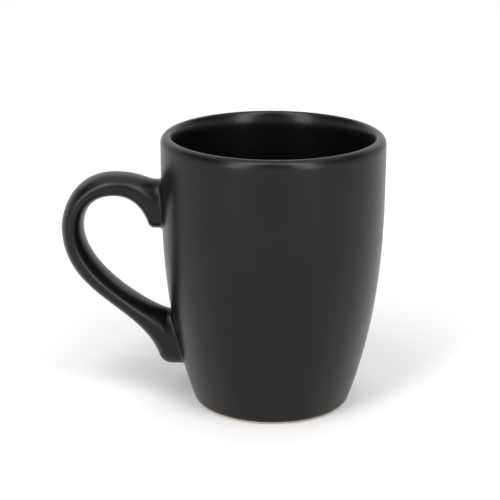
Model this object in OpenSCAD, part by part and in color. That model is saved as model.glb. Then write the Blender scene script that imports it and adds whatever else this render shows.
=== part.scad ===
/* [Cup] */

// Outside diameter just under the lip, mm
mouth_d = 83.7; // [76:0.1:92]
// Height from the table to the top of the lip, mm
cup_h = 104; // [98:0.5:112]
// Diameter the curve of the side reaches at table level, mm
foot_d = 59.4; // [54:0.2:64]
// Height above which the side stands straight, mm
straight_z = 85.2; // [78:0.2:92]
// How quickly the side pulls in towards the foot
tuck_power = 2.45; // [2:0.05:3]
// Wall thickness at the lip, mm
lip_wall = 5; // [4.4:0.05:5.6]
// Extra wall thickness gained by the bottom, mm
wall_gain = 0.9; // [0:0.1:2]
// Height of the inside floor above the table, mm
floor_z = 9.4; // [8:0.2:12]
// Radius between the inside floor and the side, mm
floor_round = 12; // [6:0.5:16]

/* [Lip] */

// Width of the rounding on the outside of the lip, mm
lip_out_w = 2.8; // [2:0.1:2.9]
// Height of the rounding on the outside of the lip, mm
lip_out_h = 3.2; // [2.4:0.1:4.4]
// Height of the rounding on the inside of the lip, mm
lip_in_h = 6; // [4:0.1:8]

/* [Foot] */

// Height of the hollow under the cup, mm
recess_h = 3; // [2:0.1:4]
// Diameter inside the foot ring at the table, mm
ring_in_d = 51.6; // [46:0.2:53]
// Rounding on both edges of the foot ring, mm
ring_round = 0.8; // [0.4:0.1:1]
// Height where the outside glaze stops above the table, mm
glaze_line_z = 0.9; // [0.8:0.1:2]

/* [Handle] */

// Furthest reach of the handle from the cup's axis, mm
handle_reach = 79.7; // [77:0.1:84]
// Height of the furthest reach, mm
bend_z = 67.7; // [65:0.1:70]
// Height of the top of the loop, mm
crest_z = 88.8; // [87:0.1:91]
// Thickness of the strap in the plane of the loop, mm
strap_t = 8.4; // [7.6:0.1:9]
// Width of the strap across the loop, mm
strap_w = 16.5; // [14:0.1:18]
// Top of the upper root, mm
upper_top_z = 86.2; // [85:0.1:87]
// Underside of the upper root, mm
upper_low_z = 67.6; // [66.6:0.1:68]
// Top of the lower root, mm
lower_top_z = 34.8; // [33.6:0.1:35.2]
// Underside of the lower root, mm
lower_low_z = 12.8; // [12.2:0.1:13]
// Radius of the heel under the upper root, mm
heel_round = 2.6; // [2.4:0.1:2.8]
// Radius of the toe of the lower root, mm
toe_round = 4.9; // [4.5:0.1:5.2]
// Angle that the heel turns through, degrees
heel_turn = 72; // [69:1:75]
// Angle that the toe turns through, degrees
toe_turn = 72; // [69:1:75]
// Hollow where the glaze rounds into the joints, mm
joint_round = 1.2; // [1.1:0.1:1.4]

/* [Layers] */

// Thickness of the fired glaze, mm
glaze_t = 0.4; // [0.3:0.05:0.5]
// Thickness of the slip that joins the handle, mm
slip_t = 0.6; // [0.4:0.05:0.8]

/* [Hidden] */

$fn = 96;
mouth_r = mouth_d / 2;
foot_r = foot_d / 2;
ring_in_r = ring_in_d / 2;
side_steps = 26;
arc_steps = 6;

// A handle section has this many points, and each curve this many stations.
ring_n = 36;
curve_steps = 12;
// How far the slip spreads past the handle's own clay.
slip_spread = 0.5;

clay_color = [0.70, 0.58, 0.45];
slip_color = [0.60, 0.48, 0.37];
glaze_color = [0.10, 0.10, 0.11];
inner_color = [0.13, 0.13, 0.14];
handle_color = [0.16, 0.16, 0.17];

// ---- side of the cup ----

// Outside radius of the glaze at height z, below the lip.
function side_r(z) =
  mouth_r - (mouth_r - foot_r) * pow(max(0, 1 - z / straight_z), tuck_power);

// Middle of the lip's top, and the heights where its two roundings start.
lip_r = mouth_r - lip_out_w;
lip_in_w = lip_wall - lip_out_w;
lip_out_z = cup_h - lip_out_h;
lip_in_z = cup_h - lip_in_h;

// Outside line from z0 up to the top of the lip, set in by d.
function outside(z0, d) = concat(
  [for (i = [0 : side_steps]) let (z = z0 + (lip_out_z - z0) * i / side_steps)
    [side_r(z) - d, z]],
  [for (i = [1 : arc_steps]) let (t = 90 * i / arc_steps)
    [lip_r + (lip_out_w - d) * cos(t), lip_out_z + (lip_out_h - d) * sin(t)]]
);

// Inside radius of the cup at height z.
function bore_r(z) = side_r(z) - lip_wall - wall_gain * (1 - z / lip_in_z);

// The floor's rounding meets the side where both have the same slope.
lean = atan((bore_r(floor_z + floor_round) - bore_r(floor_z + 0.6 * floor_round))
  / (0.4 * floor_round));
corner_z = floor_z + floor_round;
meet_z = corner_z - floor_round * sin(lean);
corner_r = bore_r(meet_z) - floor_round * cos(lean);

// Inside line from the top of the lip down to the middle of the floor, set into the wall by d.
function inside(d) = concat(
  [for (i = [1 : arc_steps]) let (t = 90 * i / arc_steps)
    [lip_r - (lip_in_w - d) * sin(t), lip_in_z + (lip_in_h - d) * cos(t)]],
  [for (i = [1 : side_steps]) let (z = lip_in_z + (meet_z - lip_in_z) * i / side_steps)
    [bore_r(z) + d, z - d * sin(lean) * i / side_steps]],
  [for (i = [1 : arc_steps]) let (t = lean + (90 - lean) * i / arc_steps)
    [corner_r + (floor_round + d) * cos(t), corner_z - (floor_round + d) * sin(t)]],
  [[0, floor_z - d]]
);

function reversed(list) = [for (i = [len(list) - 1 : -1 : 0]) list[i]];

// ---- foot ----

hollow_round = 1;
hollow_r = ring_in_r - 0.5;
base_line_z = 1;

// Line under the base from the axis to the inner side of the foot ring, set into the clay by d.
function hollow(d) = concat(
  [[0, recess_h + d]],
  [for (i = [0 : arc_steps]) let (t = 90 * i / arc_steps)
    [hollow_r - hollow_round + (hollow_round + d) * sin(t),
     recess_h - hollow_round + (hollow_round + d) * cos(t)]],
  [[ring_in_r - 0.25 + d, base_line_z]]
);

// Bare clay of the foot ring, from its inner side round to the glaze line.
ring_inner_r = ring_in_r - 0.25 + glaze_t;
ring_outer_r = side_r(0) - glaze_t;
function ring_line() = concat(
  [for (i = [0 : arc_steps]) let (t = 90 * i / arc_steps)
    [ring_inner_r + ring_round * (1 - cos(t)), ring_round * (1 - sin(t))]],
  [for (i = [0 : arc_steps - 1]) let (t = 90 * i / arc_steps)
    [ring_outer_r - ring_round * (1 - sin(t)), ring_round * (1 - cos(t))]]
);

// ---- handle ----

function bez(p, t) = pow(1 - t, 3) * p[0] + 3 * pow(1 - t, 2) * t * p[1]
  + 3 * (1 - t) * t * t * p[2] + t * t * t * p[3];

// Curves of the loop as [distance from the axis, height]: upper root to crest,
// crest to furthest reach, and down to the lower root, first outside then inside.
// The heel under the upper root and the toe of the lower root are arcs that leave the
// flat underside of the root and run on into the curves.
crest_r = 59.2;
root_out_r = mouth_r + 2.2;
heel_r = mouth_r + 2.6;
heel_end = [heel_r + heel_round * sin(heel_turn), upper_low_z + heel_round * (1 - cos(heel_turn))];
heel_lead = 7.4;
toe_start = [43.3, lower_low_z + toe_round * (1 - cos(toe_turn))];
toe_r = toe_start[0] - toe_round * sin(toe_turn);
toe_lead = 22.7;
throat_end = [side_r(lower_top_z) + joint_round + 1.05, lower_top_z + 0.2];
finger_r = handle_reach - strap_t + 0.15;
finger_z = crest_z - strap_t - 0.3;
outer_curves = [
  [[root_out_r, upper_top_z], [root_out_r + 3.2, upper_top_z], [crest_r - 8.8, crest_z],
    [crest_r, crest_z]],
  [[crest_r, crest_z], [crest_r + 16.9, crest_z], [handle_reach, bend_z + 4.8],
    [handle_reach, bend_z]],
  [[handle_reach, bend_z], [handle_reach, bend_z - 27.6],
    toe_start + toe_lead * [cos(toe_turn), sin(toe_turn)], toe_start]
];
inner_curves = [
  [heel_end, heel_end + heel_lead * [cos(heel_turn), sin(heel_turn)],
    [crest_r - 5.5, finger_z], [crest_r - 0.2, finger_z]],
  [[crest_r - 0.2, finger_z], [crest_r + 11.5, finger_z], [finger_r, bend_z + 2.9],
    [finger_r, bend_z - 0.4]],
  [[finger_r, bend_z - 0.4], [finger_r, bend_z - 14.8], throat_end + [10.3, 3.1], throat_end]
];

// Pairs of outside and inside points along the loop.
turn_steps = 4;
upper_pairs = [for (i = [0 : turn_steps - 1]) let (f = i / turn_steps, t = heel_turn * f)
  [[root_out_r - 0.6 + 0.6 * f, upper_top_z],
   [heel_r + heel_round * sin(t), upper_low_z + heel_round * (1 - cos(t))]]];
loop_pairs = [for (k = [0 : 2], i = [(k == 0 ? 0 : 1) : curve_steps])
  [bez(outer_curves[k], i / curve_steps), bez(inner_curves[k], i / curve_steps)]];
lower_pairs = [for (i = [1 : turn_steps]) let (f = i / turn_steps, t = toe_turn * (1 - f))
  [[toe_r + toe_round * sin(t), lower_low_z + toe_round * (1 - cos(t))],
   throat_end - f * [0.6, 0.2]]];

// A section's points, with the glaze of thickness d taken off all round.
function section(pair, d) = let (
  mid = (pair[0] + pair[1]) / 2,
  half = (pair[0] - pair[1]) / 2,
  arm = half * (1 - d / norm(half))
) [for (i = [0 : ring_n - 1]) let (t = 360 * i / ring_n)
  [-(mid[0] + arm[0] * cos(t)), (strap_w / 2 - d) * sin(t), mid[1] + arm[1] * cos(t)]];

// Outline of a root as [y, z], grown by d and shrunk by f all round. It starts at out_z,
// the height that carries on the outside of the loop.
function root_outline(out_z, in_z, d, f = 1) = let (
  half = (out_z - in_z) / 2,
  grow = half > 0 ? d : -d
) [for (i = [0 : ring_n - 1]) let (t = 360 * i / ring_n)
  [(strap_w / 2 + d) * f * sin(t), (out_z + in_z) / 2 + (half + grow) * f * cos(t)]];

// The same outline laid on the side of the cup, standing off the glaze's surface by s.
function laid(outline, s) = [for (p = outline)
  [-sqrt(pow(side_r(p[1]) + s, 2) - p[0] * p[0]), p[0], p[1]]];

function upper_ring(d, s) = laid(root_outline(upper_top_z, upper_low_z, d), s);
function lower_ring(d, s) = laid(root_outline(lower_low_z, lower_top_z, d), s);

// Glaze surface from the cup's clay up the rounding of a joint, as [grown by, stands off by].
round_steps = 3;
joint_line = concat(
  [[joint_round, -glaze_t]],
  [for (i = [0 : round_steps]) let (t = 90 * i / round_steps)
    [joint_round * (1 - sin(t)), joint_round * (1 - cos(t))]]
);
slip_top = slip_t - glaze_t;

glaze_rings = concat(
  [for (j = joint_line) upper_ring(j[0], j[1])],
  [for (p = concat(upper_pairs, loop_pairs, lower_pairs)) section(p, 0)],
  [for (j = reversed(joint_line)) lower_ring(j[0], j[1])]
);

clay_rings = concat(
  [upper_ring(-glaze_t, slip_top), upper_ring(-glaze_t, joint_round)],
  [for (p = concat(upper_pairs, loop_pairs, lower_pairs)) section(p, glaze_t)],
  [lower_ring(-glaze_t, joint_round), lower_ring(-glaze_t, slip_top)]
);

// Steps the inside of the handle's glaze takes over the edge of the slip.
slip_grow = slip_spread - glaze_t;
glaze_back_rings = concat(
  [upper_ring(slip_grow, -glaze_t), upper_ring(slip_grow, slip_top)],
  clay_rings,
  [lower_ring(slip_grow, slip_top), lower_ring(slip_grow, -glaze_t)]
);

// Caps of the clay handle lie on the slip: rings shrinking to a point.
cap_steps = 4;
function cap_rings(out_z, in_z) = [for (k = [1 : cap_steps - 1])
  laid(root_outline(out_z, in_z, -glaze_t, 1 - k / cap_steps), slip_top)];
function cap_point(out_z, in_z) = laid([[0, (out_z + in_z) / 2]], slip_top)[0];

function joined(lists) = [for (l = lists, p = l) p];

// Triangles between ring a and ring b, whose first points have those numbers.
function band(a, b) = [for (i = [0 : ring_n - 1]) let (j = (i + 1) % ring_n)
  each [[a + i, b + i, b + j], [a + i, b + j, a + j]]];
function turned(faces) = [for (f = faces) [f[2], f[1], f[0]]];

module clay_cup() {
  color(clay_color)
  rotate_extrude()
  polygon(concat(
    hollow(glaze_t),
    ring_line(),
    outside(glaze_line_z, glaze_t),
    inside(glaze_t)
  ));
}

module window(low_z, top_z, d) {
  translate([-(mouth_r + 8), 0, 0])
  rotate([90, 0, 90])
  linear_extrude(height = mouth_r - 14)
  polygon(root_outline(low_z, top_z, d));
}

module slip_joint(low_z, top_z) {
  steps = 8;
  from_z = low_z - 2;
  to_z = top_z + 2;
  levels = [for (i = [0 : steps]) from_z + (to_z - from_z) * i / steps];
  color(slip_color)
  intersection() {
    rotate_extrude()
    polygon(concat(
      [for (z = levels) [side_r(z) + slip_top, z]],
      [for (z = reversed(levels)) [side_r(z) - glaze_t, z]]
    ));
    window(low_z, top_z, slip_grow);
  }
}

module outer_skin() {
  edge_z = glaze_line_z + 0.25;
  color(glaze_color)
  difference() {
    rotate_extrude()
    polygon(concat(
      outside(edge_z, 0),
      reversed(outside(glaze_line_z, glaze_t))
    ));
    window(upper_low_z, upper_top_z, joint_round);
    window(lower_low_z, lower_top_z, joint_round);
  }
}

module inner_skin() {
  color(inner_color)
  rotate_extrude()
  polygon(concat(
    [[lip_r, cup_h - glaze_t], [lip_r, cup_h]],
    inside(0),
    reversed(inside(glaze_t))
  ));
}

module base_skin() {
  color(glaze_color)
  rotate_extrude()
  polygon(concat(hollow(0), reversed(hollow(glaze_t))));
}

module clay_handle() {
  rings = concat(
    [[cap_point(upper_top_z, upper_low_z)]],
    reversed(cap_rings(upper_top_z, upper_low_z)),
    clay_rings,
    cap_rings(lower_low_z, lower_top_z),
    [[cap_point(lower_low_z, lower_top_z)]]
  );
  n_rings = len(rings) - 2;
  last = 1 + n_rings * ring_n;
  color(handle_color)
  polyhedron(
    points = joined(rings),
    faces = concat(
      [for (i = [0 : ring_n - 1]) [0, 1 + i, 1 + (i + 1) % ring_n]],
      [for (k = [0 : n_rings - 2]) each band(1 + k * ring_n, 1 + (k + 1) * ring_n)],
      [for (i = [0 : ring_n - 1])
        [last, last - ring_n + (i + 1) % ring_n, last - ring_n + i]]
    )
  );
}

module handle_skin() {
  n_out = len(glaze_rings);
  n_back = len(glaze_back_rings);
  back = n_out * ring_n;
  color(glaze_color)
  polyhedron(
    points = concat(joined(glaze_rings), joined(glaze_back_rings)),
    faces = concat(
      [for (k = [0 : n_out - 2]) each band(k * ring_n, (k + 1) * ring_n)],
      [for (k = [0 : n_back - 2]) each turned(band(back + k * ring_n, back + (k + 1) * ring_n))],
      turned(band(0, back)),
      band((n_out - 1) * ring_n, back + (n_back - 1) * ring_n)
    )
  );
}

clay_cup();  // cup_body
clay_handle();  // handle
slip_joint(upper_low_z, upper_top_z);  // upper_slip_joint
slip_joint(lower_low_z, lower_top_z);  // lower_slip_joint
outer_skin();  // outer_glaze
inner_skin();  // inner_glaze
handle_skin();  // handle_glaze
base_skin();  // base_glaze
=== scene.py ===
import math

import bpy
from bpy.props import FloatProperty, FloatVectorProperty, IntProperty, PointerProperty
from mathutils import Matrix, Vector


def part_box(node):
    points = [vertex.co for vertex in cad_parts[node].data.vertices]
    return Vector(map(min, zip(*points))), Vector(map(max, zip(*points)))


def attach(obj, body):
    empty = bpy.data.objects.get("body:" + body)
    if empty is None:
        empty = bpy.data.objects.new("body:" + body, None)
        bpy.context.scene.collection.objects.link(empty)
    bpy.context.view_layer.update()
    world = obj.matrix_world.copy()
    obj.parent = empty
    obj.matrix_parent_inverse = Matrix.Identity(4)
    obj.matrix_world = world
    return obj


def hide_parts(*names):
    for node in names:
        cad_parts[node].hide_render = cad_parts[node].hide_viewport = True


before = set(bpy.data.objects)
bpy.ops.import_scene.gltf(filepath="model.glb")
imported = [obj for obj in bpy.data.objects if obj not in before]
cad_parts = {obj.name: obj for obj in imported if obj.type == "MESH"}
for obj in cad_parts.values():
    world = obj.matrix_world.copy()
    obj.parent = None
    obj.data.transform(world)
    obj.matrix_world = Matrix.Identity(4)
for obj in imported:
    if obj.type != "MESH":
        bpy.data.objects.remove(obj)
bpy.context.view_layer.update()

bl_info = {
    "name": "Glazed Stoneware Mug",
    "version": (1, 0, 0),
    "blender": (4, 5, 0),
    "location": "View3D > Sidebar > Mug",
    "description": "A tall glazed stoneware mug with a rolled lip and an ear-shaped strap handle",
    "category": "Add Mesh",
}

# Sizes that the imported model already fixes.
GLAZE_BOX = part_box("outer_glaze")
HANDLE_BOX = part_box("handle_glaze")
BASE_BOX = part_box("base_glaze")

MM = 0.001
AXIS_TOUCH = 1e-9          # a radius below this counts as on the axis
BASE_CORNER = 1.0 * MM     # rounding where the hollow under the base turns down
RING_SLOPE = 0.5 * MM      # how far the hollow's wall leans in from the foot ring
RING_SETBACK = 0.25 * MM   # lean left where the glaze in the hollow stops


# ---------------------------------------------------------------- settings

def length(name, description, default, low, high):
    """A length in metres, shown in the sidebar with its unit."""
    return FloatProperty(
        name=name, description=description, default=default, min=low, max=high,
        unit="LENGTH", subtype="DISTANCE", precision=5,
    )


class MugCupSizes(bpy.types.PropertyGroup):
    """Sizes of the cup itself."""

    mouth_radius: length(
        "Mouth radius", "Outside radius just under the lip", GLAZE_BOX[1].x, 0.035, 0.05)
    height: length("Height", "From the table to the top of the lip", GLAZE_BOX[1].z, 0.08, 0.13)
    foot_radius: length(
        "Foot radius", "Radius that the side's curve reaches at the table", 0.0297, 0.02, 0.04)
    straight_height: length(
        "Straight height", "Height above which the side stands straight", 0.0852, 0.06, 0.1)
    tuck_power: FloatProperty(
        name="Tuck", description="How quickly the side pulls in towards the foot",
        default=2.45, min=1.5, max=4)
    lip_wall: length("Lip wall", "Wall thickness at the lip", 0.005, 0.002, 0.007)
    wall_gain: length("Wall gain", "Extra wall thickness at the bottom", 0.0009, 0, 0.003)
    lip_outer_width: length(
        "Lip outer width", "Width of the rounding outside the lip", 0.0028, 0.001, 0.004)
    lip_outer_height: length(
        "Lip outer height", "Height of the rounding outside the lip", 0.0032, 0.001, 0.005)
    lip_inner_height: length(
        "Lip inner height", "Height of the rounding inside the lip", 0.006, 0.0005, 0.008)
    floor_height: length("Floor height", "Inside floor above the table", 0.0094, 0.005, 0.015)
    floor_round: length(
        "Floor rounding", "Radius between the inside floor and the side", 0.012, 0.004, 0.02)
    recess_height: length(
        "Recess height", "Hollow under the base", BASE_BOX[1].z - 0.0004, 0.001, 0.006)
    ring_inner_radius: length(
        "Ring inner radius", "Inside of the foot ring", 0.0258, 0.02, 0.028)
    ring_round: length(
        "Ring rounding", "Rounding on the foot ring's edges", 0.0008, 0.0003, 0.0015)
    glaze_line: length(
        "Glaze line", "Height where the outside glaze stops", GLAZE_BOX[0].z, 0.0005, 0.005)
    base_line: length(
        "Base line", "Height where the glaze under the base stops", BASE_BOX[0].z, 0.0005, 0.002)
    glaze_thickness: length(
        "Glaze thickness", "Thickness of the fired glaze", 0.0004, 0.0002, 0.0008)
    segments: IntProperty(
        name="Segments", description="Divisions round the cup", default=240, min=48, max=512)


class MugHandleSizes(bpy.types.PropertyGroup):
    """Sizes of the strap handle."""

    reach: length("Reach", "Furthest point from the cup's axis", -HANDLE_BOX[0].x, 0.06, 0.1)
    bend_height: length("Bend height", "Height of the furthest point", 0.0677, 0.05, 0.08)
    crest_height: length("Crest height", "Top of the loop", HANDLE_BOX[1].z, 0.07, 0.1)
    strap_thickness: length("Strap thickness", "In the plane of the loop", 0.0084, 0.005, 0.012)
    strap_width: length("Strap width", "Across the loop", 0.0165, 0.01, 0.025)
    upper_top: length("Upper root top", "Top of the upper root", 0.0862, 0.08, 0.09)
    upper_underside: length(
        "Upper root underside", "Underside of the upper root", 0.0676, 0.06, 0.07)
    lower_top: length("Lower root top", "Top of the lower root", 0.0348, 0.03, 0.04)
    lower_underside: length(
        "Lower root underside", "Underside of the lower root", 0.0128, 0.01, 0.02)
    heel_round: length("Heel radius", "Rounding of the heel", 0.0026, 0.001, 0.004)
    toe_round: length("Toe radius", "Rounding of the toe", 0.0049, 0.002, 0.008)
    joint_round: length(
        "Joint rounding", "Hollow where the joints meet the cup", 0.0012, 0.0005, 0.003)
    ring_points: IntProperty(
        name="Section points", description="Points round the strap", default=72, min=24, max=160)
    curve_steps: IntProperty(
        name="Curve steps", description="Stations along each third of the loop",
        default=48, min=12, max=120)


class MugFinish(bpy.types.PropertyGroup):
    """Colours and gloss of the glaze and the clay."""

    glaze_color: FloatVectorProperty(
        name="Glaze colour", description="Satin black glaze", subtype="COLOR", size=3,
        default=(0.0022, 0.0023, 0.0023), min=0, max=1)
    glaze_roughness: FloatProperty(
        name="Glaze roughness", description="How satin the glaze is", default=0.3,
        min=0.05, max=1, subtype="FACTOR")
    thin_glaze_color: FloatVectorProperty(
        name="Thin glaze colour", description="Where the glaze runs thin over the clay",
        subtype="COLOR", size=3, default=(0.030, 0.024, 0.019), min=0, max=1)
    clay_color: FloatVectorProperty(
        name="Clay colour", description="Bare fired stoneware", subtype="COLOR", size=3,
        default=(0.56, 0.48, 0.385), min=0, max=1)
    speck_color: FloatVectorProperty(
        name="Speck colour", description="Iron specks in the clay", subtype="COLOR", size=3,
        default=(0.16, 0.09, 0.05), min=0, max=1)


class MugStudio(bpy.types.PropertyGroup):
    """Floor, lights and camera."""

    camera_distance: length("Camera distance", "From the cup's axis, level", 0.52, 0.3, 2)
    camera_height: length("Camera height", "Above the table", 0.22776, 0.05, 1)
    camera_pitch: FloatProperty(
        name="Camera pitch", description="Downward tilt", default=0.3143, subtype="ANGLE")
    camera_yaw: FloatProperty(
        name="Camera yaw", description="Turn towards the handle", default=0.0164, subtype="ANGLE")
    camera_roll: FloatProperty(
        name="Camera roll", description="Tilt of the frame", default=0.0034, subtype="ANGLE")
    lens: FloatProperty(
        name="Lens", description="Focal length in millimetres on a 36 mm sensor",
        default=103.7, min=20, max=300)
    floor_color: FloatVectorProperty(
        name="Floor colour", description="Pale floor", subtype="COLOR", size=3,
        default=(0.78, 0.78, 0.78), min=0, max=1)
    backdrop_light: FloatProperty(
        name="Backdrop light", description="Brightness of the white backdrop at the horizon",
        default=0.95, min=0, max=5)
    room_light: FloatProperty(
        name="Room light", description="Brightness of the room above the backdrop", default=0.15,
        min=0, max=5)
    key_power: FloatProperty(
        name="Key power", description="Watts of each front softbox", default=15.5, min=0, max=50)
    key_azimuth: FloatProperty(
        name="Key azimuth", description="Angle of each front softbox from the front",
        default=math.radians(36), subtype="ANGLE")
    key_elevation: FloatProperty(
        name="Key elevation", description="Angle of each front softbox above the table",
        default=math.radians(38), subtype="ANGLE")
    top_power: FloatProperty(
        name="Top power", description="Watts of the panel above the mug", default=16.5, min=0,
        max=50)
    back_power: FloatProperty(
        name="Back power", description="Watts of the panel over the floor behind the mug",
        default=15, min=0, max=50)


# ---------------------------------------------------------------- cup profile

def cup():
    return bpy.context.scene.mug_cup


def strap():
    return bpy.context.scene.mug_handle


def side_radius(z):
    """Outside radius of the glaze at height z, below the lip."""
    c = cup()
    tuck = max(0.0, 1 - z / c.straight_height) ** c.tuck_power
    return c.mouth_radius - (c.mouth_radius - c.foot_radius) * tuck


def bore_radius(z):
    """Inside radius of the cup at height z."""
    c = cup()
    lip_in_z = c.height - c.lip_inner_height
    return side_radius(z) - c.lip_wall - c.wall_gain * (1 - z / lip_in_z)


def outer_line(start, inset, side_steps=90, arc_steps=16):
    """Outside line from start up to the top of the lip, as (radius, height)."""
    c = cup()
    arc_z = c.height - c.lip_outer_height
    lip_r = c.mouth_radius - c.lip_outer_width
    line = []
    for i in range(side_steps + 1):
        z = start + (arc_z - start) * i / side_steps
        line.append((side_radius(z) - inset, z))
    for i in range(1, arc_steps + 1):
        t = math.pi / 2 * i / arc_steps
        line.append((
            lip_r + (c.lip_outer_width - inset) * math.cos(t),
            arc_z + (c.lip_outer_height - inset) * math.sin(t),
        ))
    return line


def inner_line(inset, side_steps=80, arc_steps=20):
    """Inside line from the top of the lip down to the middle of the floor."""
    c = cup()
    lip_r = c.mouth_radius - c.lip_outer_width
    lip_w = c.lip_wall - c.lip_outer_width
    arc_z = c.height - c.lip_inner_height
    rise = c.floor_round
    span = 0.4 * rise
    widening = bore_radius(c.floor_height + rise) - bore_radius(c.floor_height + rise - span)
    lean = math.atan(widening / span)
    corner_z = c.floor_height + rise
    meet_z = corner_z - rise * math.sin(lean)
    corner_r = bore_radius(meet_z) - rise * math.cos(lean)
    line = []
    for i in range(1, arc_steps + 1):
        t = math.pi / 2 * i / arc_steps
        line.append((
            lip_r - (lip_w - inset) * math.sin(t),
            arc_z + (c.lip_inner_height - inset) * math.cos(t),
        ))
    for i in range(1, side_steps + 1):
        z = arc_z + (meet_z - arc_z) * i / side_steps
        line.append((bore_radius(z) + inset, z - inset * math.sin(lean) * i / side_steps))
    for i in range(1, arc_steps + 1):
        t = lean + (math.pi / 2 - lean) * i / arc_steps
        line.append((
            corner_r + (rise + inset) * math.cos(t),
            corner_z - (rise + inset) * math.sin(t),
        ))
    for f in (0.75, 0.5, 0.25, 0):
        line.append((corner_r * f, c.floor_height - inset))
    return line


def base_line(inset, arc_steps=12):
    """Line under the base, from the axis to the inner side of the foot ring."""
    c = cup()
    rounding = BASE_CORNER
    r = c.ring_inner_radius - RING_SLOPE - rounding
    line = [(r * f, c.recess_height + inset) for f in (0, 0.25, 0.5, 0.75)]
    for i in range(arc_steps + 1):
        t = math.pi / 2 * i / arc_steps
        line.append((
            r + (rounding + inset) * math.sin(t),
            c.recess_height - rounding + (rounding + inset) * math.cos(t),
        ))
    line.append((c.ring_inner_radius - RING_SETBACK + inset, c.base_line))
    return line


def ring_line(arc_steps=10):
    """Bare clay of the foot ring, from its inner side round to the glaze line."""
    c = cup()
    inner = c.ring_inner_radius - RING_SETBACK + c.glaze_thickness
    outer = side_radius(0) - c.glaze_thickness
    line = []
    for i in range(arc_steps + 1):
        t = math.pi / 2 * i / arc_steps
        line.append((inner + c.ring_round * (1 - math.cos(t)), c.ring_round * (1 - math.sin(t))))
    for f in (0.25, 0.5, 0.75):
        line.append((inner + c.ring_round + (outer - inner - 2 * c.ring_round) * f, 0.0))
    for i in range(arc_steps):
        t = math.pi / 2 * i / arc_steps
        line.append((outer - c.ring_round * (1 - math.sin(t)), c.ring_round * (1 - math.cos(t))))
    return line


# ---------------------------------------------------------------- mesh makers

def add_piece(name, vertices, faces, material, node, sharp=40):
    """Links a closed mesh, smooth but for edges sharper than the given angle."""
    mesh = bpy.data.meshes.new(name)
    mesh.from_pydata(vertices, [], faces)
    mesh.validate()
    mesh.update()
    mesh.polygons.foreach_set("use_smooth", [True] * len(mesh.polygons))
    mesh.set_sharp_from_angle(angle=math.radians(sharp))
    mesh.materials.append(material)
    piece = bpy.data.objects.new(name, mesh)
    bpy.context.scene.collection.objects.link(piece)
    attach(piece, "root")
    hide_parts(node)
    return piece


def turned(line):
    """Vertices and faces of the solid that a closed outline makes, turned about Z."""
    n = cup().segments
    vertices, rows = [], []
    for r, z in line:
        if r < AXIS_TOUCH:
            rows.append([len(vertices)] * n)
            vertices.append((0, 0, z))
            continue
        rows.append(list(range(len(vertices), len(vertices) + n)))
        for k in range(n):
            a = 2 * math.pi * k / n
            vertices.append((r * math.cos(a), r * math.sin(a), z))
    faces = []
    closed = line[0][0] > AXIS_TOUCH or line[-1][0] > AXIS_TOUCH
    pairs = list(zip(rows, rows[1:]))
    if closed:
        pairs.append((rows[-1], rows[0]))
    for low, high in pairs:
        if low[0] == low[1] and high[0] == high[1]:
            continue
        for k in range(n):
            j = (k + 1) % n
            corners = [low[k], low[j], high[j], high[k]]
            face = list(dict.fromkeys(corners))
            if len(face) > 2:
                faces.append(face)
    return vertices, faces


def cubic(p, t):
    """Point at t on a cubic curve with control points p."""
    u = 1 - t
    w = (u ** 3, 3 * u * u * t, 3 * u * t * t, t ** 3)
    return (sum(a * q[0] for a, q in zip(w, p)), sum(a * q[1] for a, q in zip(w, p)))


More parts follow.
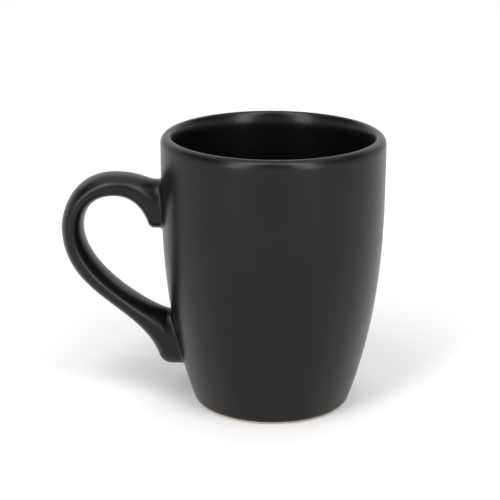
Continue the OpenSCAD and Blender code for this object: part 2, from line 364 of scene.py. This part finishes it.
def loop_pairs():
    """Outside and inside points of the strap from the upper root to the lower root."""
    c, s = cup(), strap()
    turn = math.radians(72)
    lead = (math.cos(turn), math.sin(turn))
    crest_r, crest_z = 59.2 * MM, s.crest_height
    out_r = c.mouth_radius + 2.2 * MM
    heel_r = c.mouth_radius + 2.6 * MM
    heel_end = (heel_r + s.heel_round * math.sin(turn),
                s.upper_underside + s.heel_round * (1 - math.cos(turn)))
    toe_start = (43.3 * MM, s.lower_underside + s.toe_round * (1 - math.cos(turn)))
    toe_r = toe_start[0] - s.toe_round * math.sin(turn)
    throat_in, throat_up = 0.6 * MM, 0.2 * MM
    throat = (side_radius(s.lower_top) + s.joint_round + 1.05 * MM, s.lower_top + throat_up)
    bend = s.bend_height
    crest = (crest_r, crest_z)
    finger_crest = (crest_r - 0.2 * MM, crest_z - s.strap_thickness - 0.3 * MM)
    finger_bend = (s.reach - s.strap_thickness + 0.15 * MM, bend - 0.4 * MM)

    # How strongly each curve holds its direction at its two ends.
    heel_lead, toe_lead = 7.4 * MM, 22.7 * MM
    root_lead, rise_lead, fall_lead = 3.2 * MM, 8.8 * MM, 16.9 * MM
    bend_above, bend_below = 4.8 * MM, 27.6 * MM
    finger_rise, finger_fall = 5.3 * MM, 11.7 * MM
    finger_above, finger_below = 3.3 * MM, 14.4 * MM
    throat_lead = (10.3 * MM, 3.1 * MM)

    outside = [
        [(out_r, s.upper_top), (out_r + root_lead, s.upper_top),
         (crest_r - rise_lead, crest_z), crest],
        [crest, (crest_r + fall_lead, crest_z), (s.reach, bend + bend_above), (s.reach, bend)],
        [(s.reach, bend), (s.reach, bend - bend_below),
         (toe_start[0] + toe_lead * lead[0], toe_start[1] + toe_lead * lead[1]), toe_start],
    ]
    inside = [
        [heel_end, (heel_end[0] + heel_lead * lead[0], heel_end[1] + heel_lead * lead[1]),
         (finger_crest[0] - finger_rise, finger_crest[1]), finger_crest],
        [finger_crest, (finger_crest[0] + finger_fall, finger_crest[1]),
         (finger_bend[0], finger_bend[1] + finger_above), finger_bend],
        [finger_bend, (finger_bend[0], finger_bend[1] - finger_below),
         (throat[0] + throat_lead[0], throat[1] + throat_lead[1]), throat],
    ]
    pairs = []
    turns = 14
    for i in range(turns):
        f = i / turns
        t = turn * f
        pairs.append((
            (out_r - throat_in + throat_in * f, s.upper_top),
            (heel_r + s.heel_round * math.sin(t),
             s.upper_underside + s.heel_round * (1 - math.cos(t))),
        ))
    for k in range(3):
        for i in range(0 if k == 0 else 1, s.curve_steps + 1):
            t = i / s.curve_steps
            pairs.append((cubic(outside[k], t), cubic(inside[k], t)))
    for i in range(1, turns + 1):
        f = i / turns
        t = turn * (1 - f)
        pairs.append((
            (toe_r + s.toe_round * math.sin(t),
             s.lower_underside + s.toe_round * (1 - math.cos(t))),
            (throat[0] - throat_in * f, throat[1] - throat_up * f),
        ))
    return pairs


def section(pair, inset):
    """Ring of points round the strap between an outside and an inside point."""
    s = strap()
    (r0, z0), (r1, z1) = pair
    mid_r, mid_z = (r0 + r1) / 2, (z0 + z1) / 2
    arm_r, arm_z = (r0 - r1) / 2, (z0 - z1) / 2
    shrink = 1 - inset / math.hypot(arm_r, arm_z)
    ring = []
    for i in range(s.ring_points):
        t = 2 * math.pi * i / s.ring_points
        ring.append((
            -(mid_r + arm_r * shrink * math.cos(t)),
            (s.strap_width / 2 - inset) * math.sin(t),
            mid_z + arm_z * shrink * math.cos(t),
        ))
    return ring


def root_ring(out_z, in_z, grow, off):
    """Ring round a root, laid on the cup's side and standing off its glaze."""
    s = strap()
    half = (out_z - in_z) / 2
    reach = half + (grow if half > 0 else -grow)
    ring = []
    for i in range(s.ring_points):
        t = 2 * math.pi * i / s.ring_points
        y = (s.strap_width / 2 + grow) * math.sin(t)
        z = (out_z + in_z) / 2 + reach * math.cos(t)
        ring.append((-math.sqrt((side_radius(z) + off) ** 2 - y * y), y, z))
    return ring


def stitched(rings):
    """Vertices and faces of a tube through rings, closed on itself."""
    n = len(rings[0])
    vertices = [p for ring in rings for p in ring]
    faces = []
    for k in range(len(rings)):
        a, b = k * n, ((k + 1) % len(rings)) * n
        for i in range(n):
            j = (i + 1) % n
            faces.append((a + i, a + j, b + j, b + i))
    return vertices, faces


# ---------------------------------------------------------------- finishes

# Set for this bright floor; a real glaze is about 1.5.
GLAZE_IOR = 1.34
CLAY_IOR = 1.45
TURNING_PITCH = 0.45 * MM

class NodeBench:
    """Short ways to add shader nodes to one material."""

    def __init__(self, name):
        self.material = bpy.data.materials.new(name)
        self.material.use_nodes = True
        self.tree = self.material.node_tree
        self.tree.nodes.clear()
        self.out = self.tree.nodes.new("ShaderNodeOutputMaterial")
        self.shader = self.tree.nodes.new("ShaderNodeBsdfPrincipled")
        self.link(self.shader.outputs["BSDF"], self.out.inputs["Surface"])
        self.place = self.tree.nodes.new("ShaderNodeTexCoord").outputs["Object"]

    def link(self, a, b):
        self.tree.links.new(a, b)

    def noise(self, scale, detail=2, roughness=0.5):
        """Cloudy noise from 0 to 1, with about this many clouds to the metre."""
        n = self.tree.nodes.new("ShaderNodeTexNoise")
        n.inputs["Scale"].default_value = scale
        n.inputs["Detail"].default_value = detail
        n.inputs["Roughness"].default_value = roughness
        self.link(self.place, n.inputs["Vector"])
        return n.outputs["Fac"]

    def cells(self, scale):
        """Distance to the nearest of scattered points, this many to the metre."""
        v = self.tree.nodes.new("ShaderNodeTexVoronoi")
        v.inputs["Scale"].default_value = scale
        self.link(self.place, v.inputs["Vector"])
        return v.outputs["Distance"]

    def span(self, value, from_low, from_high, to_low, to_high):
        """Maps one range onto another and clamps at its ends."""
        m = self.tree.nodes.new("ShaderNodeMapRange")
        m.inputs["From Min"].default_value = from_low
        m.inputs["From Max"].default_value = from_high
        m.inputs["To Min"].default_value = to_low
        m.inputs["To Max"].default_value = to_high
        self.link(value, m.inputs["Value"])
        return m.outputs["Result"]

    def math(self, kind, a, b):
        m = self.tree.nodes.new("ShaderNodeMath")
        m.operation = kind
        for socket, value in zip(m.inputs, (a, b)):
            if isinstance(value, (int, float)):
                socket.default_value = value
            else:
                self.link(value, socket)
        return m.outputs["Value"]

    def axes(self):
        """The X, Y and Z of the place, in metres."""
        s = self.tree.nodes.new("ShaderNodeSeparateXYZ")
        self.link(self.place, s.inputs["Vector"])
        return s.outputs

    def mix(self, factor, a, b):
        m = self.tree.nodes.new("ShaderNodeMix")
        m.data_type = "RGBA"
        self.link(factor, m.inputs["Factor"])
        for socket, value in ((m.inputs["A"], a), (m.inputs["B"], b)):
            if isinstance(value, tuple):
                socket.default_value = value
            else:
                self.link(value, socket)
        return m.outputs["Result"]

    def bump(self, value, distance, normal=None, strength=1.0):
        """Relief of the given depth, on top of any relief before it."""
        b = self.tree.nodes.new("ShaderNodeBump")
        b.inputs["Distance"].default_value = distance
        b.inputs["Strength"].default_value = strength
        self.link(value, b.inputs["Height"])
        if normal is not None:
            self.link(normal, b.inputs["Normal"])
        return b.outputs["Normal"]


def rgba(color, scale=1.0):
    return (color[0] * scale, color[1] * scale, color[2] * scale, 1.0)


def glaze_finish(name, roughness, thin_low=None, thin_high=None):
    """Satin black glaze: slow changes of tone and gloss, fine ripple, and thin edges."""
    found = bpy.data.materials.get(name)
    if found:
        return found
    looks = bpy.context.scene.mug_finish
    b = NodeBench(name)

    # Slow clouds of tone, sparse paler specks, and brown where the glaze thins.
    tone = b.noise(55, 4, 0.6)
    color = b.mix(b.span(tone, 0.35, 0.65, 0, 1),
                  rgba(looks.glaze_color, 0.82), rgba(looks.glaze_color, 1.22))
    specks = b.span(b.cells(420), 0.04, 0.09, 1, 0)
    sparse = b.span(b.noise(160, 1), 0.62, 0.66, 0, 1)
    color = b.mix(b.math("MULTIPLY", specks, sparse), color, rgba(looks.glaze_color, 2.6))
    if thin_low is not None:
        edge = b.span(b.axes()["Z"], thin_low, thin_high, 1, 0)
        ragged = b.math("MULTIPLY", edge, b.span(b.noise(240, 3), 0.3, 0.7, 0.35, 1))
        color = b.mix(ragged, color, rgba(looks.thin_glaze_color))
    b.link(color, b.shader.inputs["Base Color"])

    # Gloss that drifts over centimetres, with a fine unevenness on top.
    drift, fine_drift = 0.03, 0.02
    cloud = b.span(b.noise(38, 3), 0.3, 0.7, roughness - drift, roughness + drift)
    fine = b.span(b.noise(900, 2), 0.3, 0.7, -fine_drift, fine_drift)
    b.link(b.math("ADD", cloud, fine), b.shader.inputs["Roughness"])

    # Relief: a slow wave, a ripple of about 2 mm and a grain of about 0.4 mm.
    wave = b.bump(b.noise(90, 2), 0.05 * MM, strength=0.25)
    ripple = b.bump(b.noise(520, 2), 0.012 * MM, wave, strength=0.35)
    grain = b.bump(b.noise(2600, 2), 0.004 * MM, ripple, strength=0.5)
    b.link(grain, b.shader.inputs["Normal"])
    b.shader.inputs["IOR"].default_value = GLAZE_IOR
    return b.material


def clay_finish(name, tint=1.0):
    """Bare buff stoneware with iron specks, grog and the marks of the turning tool."""
    found = bpy.data.materials.get(name)
    if found:
        return found
    looks = bpy.context.scene.mug_finish
    b = NodeBench(name)
    cloud = b.span(b.noise(70, 4, 0.6), 0.3, 0.7, 0, 1)
    color = b.mix(cloud, rgba(looks.clay_color, 0.86 * tint),
                  rgba(looks.clay_color, 1.08 * tint))
    fleck = b.span(b.cells(900), 0.10, 0.20, 1, 0)
    some = b.span(b.noise(420, 1), 0.56, 0.60, 0, 1)
    color = b.mix(b.math("MULTIPLY", fleck, some), color, rgba(looks.speck_color))
    b.link(color, b.shader.inputs["Base Color"])
    b.link(b.span(b.noise(600, 3), 0.3, 0.7, 0.78, 0.92), b.shader.inputs["Roughness"])
    sides = b.axes()
    r2 = b.math("ADD", b.math("MULTIPLY", sides["X"], sides["X"]),
                b.math("MULTIPLY", sides["Y"], sides["Y"]))
    radius = b.math("POWER", r2, 0.5)
    rings = b.math("SINE", b.math("MULTIPLY", radius, 2 * math.pi / TURNING_PITCH), 0.0)
    turning = b.bump(rings, 0.02 * MM, strength=0.4)
    grog = b.bump(b.noise(1500, 4, 0.7), 0.06 * MM, turning, strength=0.6)
    b.link(grog, b.shader.inputs["Normal"])
    b.shader.inputs["IOR"].default_value = CLAY_IOR
    return b.material


# ---------------------------------------------------------------- operators

class MUG_OT_outer_glaze(bpy.types.Operator):
    """Make the glaze outside the cup, from above the foot to the top of the lip"""

    bl_idname = "mug.outer_glaze"
    bl_label = "Outer glaze"

    def execute(self, context):
        c = cup()
        low = c.glaze_line
        bead_height, thin_height = 0.25 * MM, 0.9 * MM
        outside = outer_line(low + bead_height, 0)
        bead = [(side_radius(low) - depth * MM, low + rise * MM)
                for depth, rise in ((0.30, 0.01), (0.12, 0.05), (0.02, 0.14))]
        back = outer_line(low, c.glaze_thickness)
        vertices, faces = turned(bead + outside + back[::-1])
        finish = glaze_finish("outer_satin_black", context.scene.mug_finish.glaze_roughness,
                              low, low + thin_height)
        add_piece("outer_glaze_coat", vertices, faces, finish, "outer_glaze")
        return {"FINISHED"}


class MUG_OT_liner(bpy.types.Operator):
    """Make the glaze that lines the cup, from the top of the lip to the floor"""

    bl_idname = "mug.liner"
    bl_label = "Liner glaze"

    def execute(self, context):
        c = cup()
        lip_r = c.mouth_radius - c.lip_outer_width
        front = [(lip_r, c.height)] + inner_line(0)
        back = [(lip_r, c.height - c.glaze_thickness)] + inner_line(c.glaze_thickness)
        vertices, faces = turned(front[::-1] + back)
        faces = [f[::-1] for f in faces]
        finish = glaze_finish("liner_satin_black", context.scene.mug_finish.glaze_roughness - 0.03)
        add_piece("liner_glaze_coat", vertices, faces, finish, "inner_glaze")
        return {"FINISHED"}


class MUG_OT_base_glaze(bpy.types.Operator):
    """Make the glaze in the hollow under the foot"""

    bl_idname = "mug.base_glaze"
    bl_label = "Base glaze"

    def execute(self, context):
        c = cup()
        vertices, faces = turned(base_line(0) + base_line(c.glaze_thickness)[::-1])
        finish = glaze_finish("base_satin_black", context.scene.mug_finish.glaze_roughness + 0.02)
        add_piece("base_glaze_coat", vertices, faces, finish, "base_glaze")
        return {"FINISHED"}


class MUG_OT_clay_cup(bpy.types.Operator):
    """Make the stoneware cup, whose foot ring is left bare"""

    bl_idname = "mug.clay_cup"
    bl_label = "Clay cup"

    def execute(self, context):
        c = cup()
        g = c.glaze_thickness
        outline = base_line(g) + ring_line() + outer_line(c.glaze_line, g) + inner_line(g)
        vertices, faces = turned(outline)
        add_piece("stoneware_cup", vertices, faces, clay_finish("bare_stoneware"),
                  "cup_body")
        return {"FINISHED"}


class MUG_OT_handle_glaze(bpy.types.Operator):
    """Make the glaze over the strap handle and round both of its joints"""

    bl_idname = "mug.handle_glaze"
    bl_label = "Handle glaze"

    def execute(self, context):
        c, s = cup(), strap()
        g = c.glaze_thickness
        slip_edge, slip_top = 0.1 * MM, 0.2 * MM
        upper = (s.upper_top, s.upper_underside)
        lower = (s.lower_underside, s.lower_top)
        steps = 10
        joint = [(s.joint_round, -g)]
        for i in range(steps + 1):
            t = math.pi / 2 * i / steps
            joint.append((s.joint_round * (1 - math.sin(t)), s.joint_round * (1 - math.cos(t))))
        pairs = loop_pairs()
        front = [root_ring(*upper, *j) for j in joint]
        front += [section(p, 0) for p in pairs]
        front += [root_ring(*lower, *j) for j in joint[::-1]]
        back = [root_ring(*upper, slip_edge, -g), root_ring(*upper, slip_edge, slip_top),
                root_ring(*upper, -g, slip_top), root_ring(*upper, -g, s.joint_round)]
        back += [section(p, g) for p in pairs[::3]]
        back += [root_ring(*lower, -g, s.joint_round), root_ring(*lower, -g, slip_top),
                 root_ring(*lower, slip_edge, slip_top), root_ring(*lower, slip_edge, -g)]
        vertices, faces = stitched(front + back[::-1])
        finish = glaze_finish("handle_satin_black", context.scene.mug_finish.glaze_roughness)
        add_piece("handle_glaze_coat", vertices, faces, finish, "handle_glaze")
        return {"FINISHED"}


class MUG_OT_hidden_clay(bpy.types.Operator):
    """Finish the clay handle and the slip joints that the glaze covers"""

    bl_idname = "mug.hidden_clay"
    bl_label = "Handle clay and slip"

    def execute(self, context):
        for node, finish in (
            ("handle", clay_finish("bare_stoneware")),
            ("upper_slip_joint", clay_finish("joining_slip", 0.85)),
            ("lower_slip_joint", clay_finish("joining_slip", 0.85)),
        ):
            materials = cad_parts[node].data.materials
            materials.clear()
            materials.append(finish)
        return {"FINISHED"}


class MUG_OT_studio(bpy.types.Operator):
    """Set the floor, the soft lights and the camera"""

    bl_idname = "mug.studio"
    bl_label = "Studio"

    def execute(self, context):
        scene, look = context.scene, context.scene.mug_studio
        self.floor(look)
        self.surround(scene, look)
        self.lights(look)
        self.camera(scene, look)
        scene.view_settings.view_transform = "Standard"
        return {"FINISHED"}

    def floor(self, look):
        bench = NodeBench("pale_floor")
        tone = bench.span(bench.noise(3, 2), 0.3, 0.7, 0, 1)
        bench.link(bench.mix(tone, rgba(look.floor_color, 0.99), rgba(look.floor_color, 1.0)),
                   bench.shader.inputs["Base Color"])
        bench.shader.inputs["Roughness"].default_value = 0.9
        bench.shader.inputs["Specular IOR Level"].default_value = 0.1
        mesh = bpy.data.meshes.new("floor")
        radius, sides, gap = 1.2, 128, 0.05 * MM
        rim = [(radius * math.cos(2 * math.pi * i / sides),
                radius * math.sin(2 * math.pi * i / sides), -gap) for i in range(sides)]
        mesh.from_pydata(rim, [], [tuple(range(sides))])
        mesh.materials.append(bench.material)
        floor = bpy.data.objects.new("floor", mesh)
        bpy.context.scene.collection.objects.link(floor)

    def surround(self, scene, look):
        """A white backdrop round the mug that fades into a dimmer room above it."""
        world = bpy.data.worlds.new("white_backdrop")
        world.use_nodes = True
        tree = world.node_tree
        tree.nodes.clear()
        place = tree.nodes.new("ShaderNodeTexCoord")
        split = tree.nodes.new("ShaderNodeSeparateXYZ")
        rise = tree.nodes.new("ShaderNodeMapRange")
        rise.interpolation_type = "SMOOTHSTEP"
        fade_start, fade_end = math.radians(8), math.radians(32)
        rise.inputs["From Min"].default_value = math.sin(fade_start)
        rise.inputs["From Max"].default_value = math.sin(fade_end)
        rise.inputs["To Min"].default_value = look.backdrop_light
        rise.inputs["To Max"].default_value = look.room_light
        light = tree.nodes.new("ShaderNodeBackground")
        light.inputs["Color"].default_value = (1, 1, 1, 1)
        out = tree.nodes.new("ShaderNodeOutputWorld")
        tree.links.new(place.outputs["Generated"], split.inputs[0])
        tree.links.new(split.outputs["Z"], rise.inputs["Value"])
        tree.links.new(rise.outputs["Result"], light.inputs["Strength"])
        tree.links.new(light.outputs[0], out.inputs["Surface"])
        scene.world = world

    def softbox(self, name, place, size, power, target):
        """A rectangular light that faces the target and isn't seen itself."""
        data = bpy.data.lights.new(name, "AREA")
        data.shape = "RECTANGLE"
        data.size, data.size_y = size
        data.energy = power
        lamp = bpy.data.objects.new(name, data)
        lamp.location = place
        lamp.rotation_mode = "QUATERNION"
        lamp.rotation_quaternion = (Vector(target) - Vector(place)).to_track_quat("-Z", "Y")
        lamp.visible_camera = False
        bpy.context.scene.collection.objects.link(lamp)

    def lights(self, look):
        """Two tall front softboxes, a panel overhead and one over the floor behind."""
        distance, aim_height, box_size = 1.3, 0.06, (0.36, 2.03)
        level = distance * math.cos(look.key_elevation)
        top = aim_height + distance * math.sin(look.key_elevation)
        for name, side in (("key_left", -1), ("key_right", 1)):
            place = (side * level * math.sin(look.key_azimuth),
                     -level * math.cos(look.key_azimuth), top)
            self.softbox(name, place, box_size, look.key_power, (0, 0, aim_height))
        for name, back, height, size, power in (
            ("top_panel", 0.1, 1.7, (2.3, 2.3), look.top_power),
            ("back_panel", 1.5, 0.9, (3.0, 1.6), look.back_power),
        ):
            self.softbox(name, (0, back, height), size, power, (0, back, 0))

    def camera(self, scene, look):
        data = bpy.data.cameras.new("camera")
        data.sensor_width = 36
        data.lens = look.lens
        data.clip_start = 0.02
        camera = bpy.data.objects.new("camera", data)
        camera.matrix_world = (
            Matrix.Translation((0, -look.camera_distance, look.camera_height))
            @ Matrix.Rotation(look.camera_yaw, 4, "Z")
            @ Matrix.Rotation(math.pi / 2 - look.camera_pitch, 4, "X")
            @ Matrix.Rotation(look.camera_roll, 4, "Z")
        )
        scene.collection.objects.link(camera)
        scene.camera = camera


class MUG_PT_sidebar(bpy.types.Panel):
    """Buttons for the mug's pieces and the sizes that go with them"""

    bl_idname = "MUG_PT_sidebar"
    bl_label = "Stoneware mug"
    bl_space_type = "VIEW_3D"
    bl_region_type = "UI"
    bl_category = "Mug"

    def draw(self, context):
        scene = context.scene
        for heading, group, buttons in (
            ("Cup", scene.mug_cup, CUP_STEPS),
            ("Handle", scene.mug_handle, HANDLE_STEPS),
            ("Finish", scene.mug_finish, ()),
            ("Studio", scene.mug_studio, STUDIO_STEPS),
        ):
            box = self.layout.box()
            box.label(text=heading)
            for step in buttons:
                box.operator(step.bl_idname)
            for key in group.__annotations__:
                box.prop(group, key)


CUP_STEPS = (MUG_OT_clay_cup, MUG_OT_outer_glaze, MUG_OT_liner, MUG_OT_base_glaze)
HANDLE_STEPS = (MUG_OT_hidden_clay, MUG_OT_handle_glaze)
STUDIO_STEPS = (MUG_OT_studio,)
GROUPS = {
    "mug_cup": MugCupSizes,
    "mug_handle": MugHandleSizes,
    "mug_finish": MugFinish,
    "mug_studio": MugStudio,
}
CLASSES = (*GROUPS.values(), *CUP_STEPS, *HANDLE_STEPS, *STUDIO_STEPS, MUG_PT_sidebar)


def register():
    for cls in CLASSES:
        bpy.utils.register_class(cls)
    for key, cls in GROUPS.items():
        setattr(bpy.types.Scene, key, PointerProperty(type=cls))


def unregister():
    for key in GROUPS:
        delattr(bpy.types.Scene, key)
    for cls in reversed(CLASSES):
        bpy.utils.unregister_class(cls)


def main():
    register()
    bpy.ops.mug.studio()
    bpy.ops.mug.clay_cup()
    bpy.ops.mug.outer_glaze()
    bpy.ops.mug.liner()
    bpy.ops.mug.base_glaze()
    bpy.ops.mug.hidden_clay()
    bpy.ops.mug.handle_glaze()


if __name__ == "__main__":
    main()
